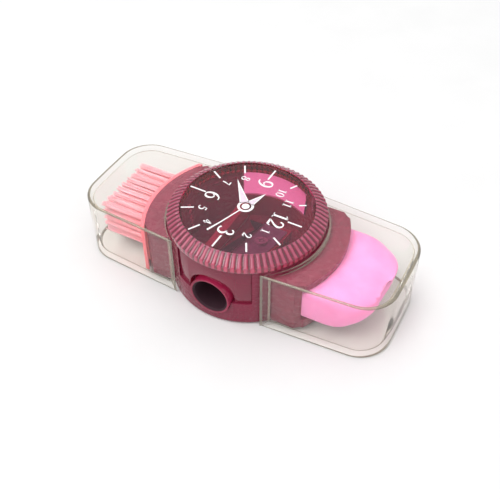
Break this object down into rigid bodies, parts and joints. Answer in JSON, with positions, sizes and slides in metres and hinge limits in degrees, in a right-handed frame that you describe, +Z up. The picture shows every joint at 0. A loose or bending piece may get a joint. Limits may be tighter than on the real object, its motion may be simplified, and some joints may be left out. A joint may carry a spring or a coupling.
{
  "type": "pencil sharpener",
  "caption": "Pocket pencil sharpener shaped like a wristwatch: round shavings drum under a tinted dial lid, with an eraser and a small brush on its sides under clear slide-off caps.",
  "frame": {"origin": "drum axis at the underside of the drum, which is the middle of the object's base", "axes": "+X along the length towards the eraser, -Y towards the pencil inlet, +Z up along the drum axis"},
  "size_m": [0.08, 0.0378, 0.0205],
  "materials": {
    "body_plastic": "satin moulded, burgundy",
    "tinted_plastic": "clear moulded, tinted burgundy",
    "block_plastic": "satin moulded, burgundy",
    "blade_steel": "ground steel",
    "screw_steel": "turned steel",
    "brush_plastic": "satin moulded, salmon",
    "bristle": "fine nylon filament, salmon pink",
    "eraser_vinyl": "matt vinyl, pink",
    "clear_plastic": "polished clear"
  },
  "bodies": {
    "root": {"housing": "body_plastic", "inlet_sill": "body_plastic", "sharpener_block": "block_plastic", "blade": "blade_steel", "blade_screw": "screw_steel", "brush_plate": "brush_plastic", "tuft_column_1": "bristle", "tuft_column_2": "bristle", "tuft_column_3": "bristle", "tuft_column_4": "bristle", "tuft_column_5": "bristle", "tuft_column_6": "bristle", "tuft_column_7": "bristle", "tuft_column_8": "bristle", "tuft_column_9": "bristle", "eraser": "eraser_vinyl"},
    "lid": {"lid": "tinted_plastic"},
    "left_cap": {"left_cap": "clear_plastic"},
    "right_cap": {"right_cap": "clear_plastic"}
  },
  "joints": [
    {"name": "lid_lift", "type": "slide", "parent": "root", "child": "lid", "axis": [0, 0, 1], "range_m": [0, 0.02]},
    {"name": "left_cap_slide", "type": "slide", "parent": "root", "child": "left_cap", "axis": [-1, 0, 0], "range_m": [0, 0.028]},
    {"name": "right_cap_slide", "type": "slide", "parent": "root", "child": "right_cap", "axis": [1, 0, 0], "range_m": [0, 0.028]}
  ]
}
